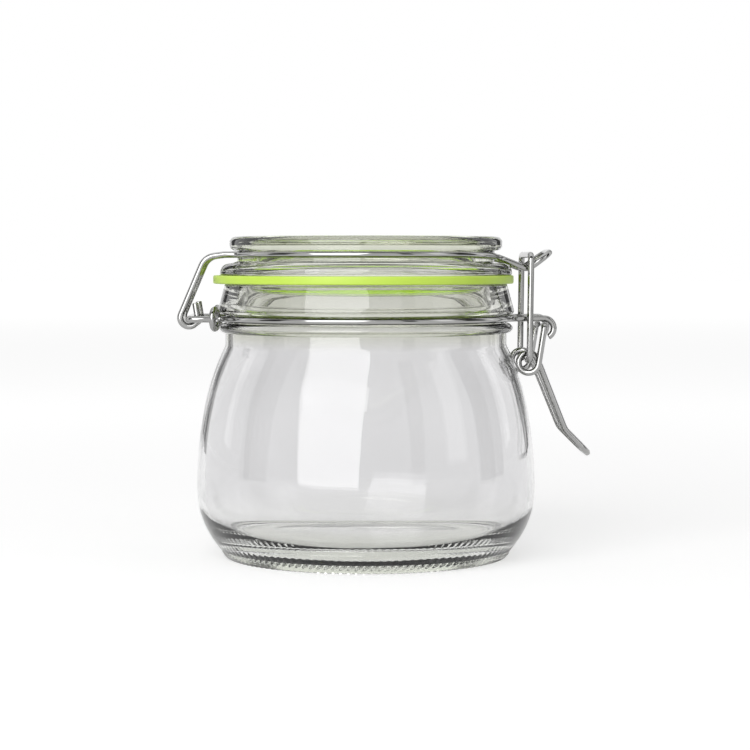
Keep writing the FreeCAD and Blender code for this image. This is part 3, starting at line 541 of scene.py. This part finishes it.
COIL_X, COIL_LEVEL = 50.914, 62.836
BAR_X, BAR_LEVEL, BAR_SIDE = 51.3, 96.0375, -14.1

wire = BentWire((COIL_X, PIN_END, COIL_LEVEL), -Y_AXIS)
wire.cut_end(wire.start)
wire.through([(COIL_X, BAR_SIDE, COIL_LEVEL), (BAR_X, BAR_SIDE, BAR_LEVEL), (BAR_X, 0, BAR_LEVEL)],
             [1.6, 2.5])
finished_piece("clasp_link", both_halves(wire.mesh), steel_finish, "link", "link")


# ---------------------------------------------------------------------------------------------
# Studio. A plain pale floor, a white room, and soft lamps: one large softbox to the front left,
# a smaller one to the front right, two narrow strips at the sides and one lamp overhead. Cards
# round the jar, which only bright wire or only clear glass can see, shape their edges.
# ---------------------------------------------------------------------------------------------

FLOOR_REACH = 8.0
FLOOR_LIFT, NEAR_LIFT, FAR_LIFT = 0.54, 0.12, 0.115
ROOM_LIGHT = 0.42


def seen_white(finish):
    """1 for what the camera, a polished surface or clear glass sees."""
    path = finish.node("ShaderNodeLightPath")
    seen = path["Is Camera Ray"] + path["Is Glossy Ray"] + path["Is Transmission Ray"]
    return finish.node("ShaderNodeMath", {"operation": "MINIMUM"}, {0: seen, 1: 1.0})["Value"]


room = bpy.data.worlds.new("white_room")
bpy.context.scene.world = room
walls = Finish("white_room", room)
glow = walls.node("ShaderNodeBackground", None, {
    "Color": (1, 1, 1, 1), "Strength": seen_white(walls) * (1 - ROOM_LIGHT) + ROOM_LIGHT})["Background"]
walls.output(glow, "ShaderNodeOutputWorld")

floor_mesh = bmesh.new()
bmesh.ops.create_grid(floor_mesh, x_segments=8, y_segments=8, size=FLOOR_REACH)
floor_data = bpy.data.meshes.new("studio_floor")
floor_mesh.to_mesh(floor_data)
floor_mesh.free()
floor = bpy.data.objects.new("studio_floor", floor_data)
bpy.context.scene.collection.objects.link(floor)
paper = Finish("pale_paper")
away = paper.node("ShaderNodeVectorMath", {"operation": "LENGTH"}, {0: paper.where()})["Value"]
lift = (paper.only_above(away, 0.08, 0.8) * NEAR_LIFT + paper.only_above(away, 0.8, 4.0) * FAR_LIFT
        + FLOOR_LIFT)
matt = paper.node("ShaderNodeBsdfDiffuse", None, {"Color": (0.6, 0.6, 0.6, 1)})["BSDF"]
shine = paper.node("ShaderNodeEmission", None, {
    "Color": (1, 1, 1, 1), "Strength": lift * seen_white(paper)})["Emission"]
both = paper.node("ShaderNodeAddShader", None, {0: matt, 1: shine})["Shader"]
floor_data.materials.append(paper.output(both))


def softbox(name, azimuth, height, distance, width, tall, glow):
    """Rectangular lamp aimed at the jar. Azimuth 0 is the camera's side, and positive is to its right."""
    lamp = bpy.data.lights.new(name, "AREA")
    lamp.shape, lamp.size, lamp.size_y = "RECTANGLE", width, tall
    lamp.energy = glow * math.pi * width * tall
    made = bpy.data.objects.new(name, lamp)
    turn = math.radians(azimuth)
    made.location = (math.sin(turn) * distance, -math.cos(turn) * distance, height)
    aim = Vector((0, 0, 0.05)) - made.location
    made.rotation_euler = aim.to_track_quat("-Z", "Y").to_euler()
    made.visible_camera = False
    bpy.context.scene.collection.objects.link(made)


softbox("key_softbox", -27, 0.53, 1.05, 0.92, 1.2, 3.0)
softbox("fill_softbox", 62, 0.50, 1.2, 0.34, 0.8, 0.8)
softbox("left_strip", -112, 0.42, 1.0, 0.08, 0.7, 0.9)
softbox("right_strip", 112, 0.42, 1.0, 0.08, 0.7, 0.9)
softbox("overhead_softbox", 180, 1.3, 0.12, 0.9, 0.9, 0.5)


def flag(name, azimuth, lift, distance, width, tall, grey, for_wire):
    """Dark or bright card beside the jar, seen either by the wire or by the glass."""
    mesh = bmesh.new()
    bmesh.ops.create_grid(mesh, x_segments=1, y_segments=1, size=0.5,
                          matrix=Matrix.Rotation(math.radians(azimuth), 4, "Z")
                          @ Matrix.Rotation(math.radians(-lift), 4, "X")
                          @ Matrix.Translation((0, -distance, 0))
                          @ Matrix.Rotation(math.radians(90), 4, "X")
                          @ Matrix.Diagonal((width, tall, 1, 1)))
    data = bpy.data.meshes.new(name)
    mesh.to_mesh(data)
    mesh.free()
    card = bpy.data.objects.new(name, data)
    bpy.context.scene.collection.objects.link(card)
    felt = Finish(name)
    data.materials.append(felt.output(felt.node("ShaderNodeEmission", None, {
        "Color": (1, 1, 1, 1), "Strength": grey})["Emission"]))
    card.visible_camera = card.visible_diffuse = card.visible_shadow = False
    card.visible_glossy, card.visible_transmission = for_wire, not for_wire


flag("wire_flag_left", -80, 22, 0.8, 0.30, 0.7, 0.05, True)
flag("wire_flag_right", 90, 22, 0.8, 0.34, 0.7, 0.05, True)
flag("wire_flag_front", 32, 22, 0.9, 0.16, 0.7, 0.10, True)
flag("wire_flag_rear_left", -150, 22, 0.9, 0.18, 0.7, 0.15, True)
flag("wire_flag_rear_right", 146, 22, 0.9, 0.18, 0.7, 0.15, True)
flag("wire_flag_above", 0, 66, 0.9, 1.3, 0.30, 0.02, True)
flag("key_bright_band", -26, 30, 0.95, 0.78, 0.20, 4.6, True)
flag("glass_flag_left", -92, 22, 0.8, 0.14, 0.8, 0.35, False)
flag("glass_flag_right", 88, 22, 0.8, 0.22, 0.8, 0.12, False)
flag("glass_flag_rear_left", -150, 22, 0.9, 0.20, 0.8, 0.25, False)
flag("glass_flag_rear_right", 146, 22, 0.9, 0.20, 0.8, 0.15, False)


# ---------------------------------------------------------------------------------------------
# Camera. A long lens at the height of the lid, tipped down by three degrees and swung by two, so
# that the jar stands in the middle and its clasp is seen from the side.
# ---------------------------------------------------------------------------------------------

CAMERA_TIP, CAMERA_SWING = 3.05, -2.285

lens = bpy.data.cameras.new("camera")
lens.sensor_width, lens.lens = 36.0, 105.26
lens.clip_start, lens.clip_end = 0.05, 50.0
camera = bpy.data.objects.new("camera", lens)
bpy.context.scene.collection.objects.link(camera)
camera.location = (-0.02504, -0.69955, 0.095)
camera.rotation_euler = (math.radians(90 - CAMERA_TIP), 0, math.radians(CAMERA_SWING))
bpy.context.scene.camera = camera
bpy.context.scene.view_settings.view_transform = "Standard"
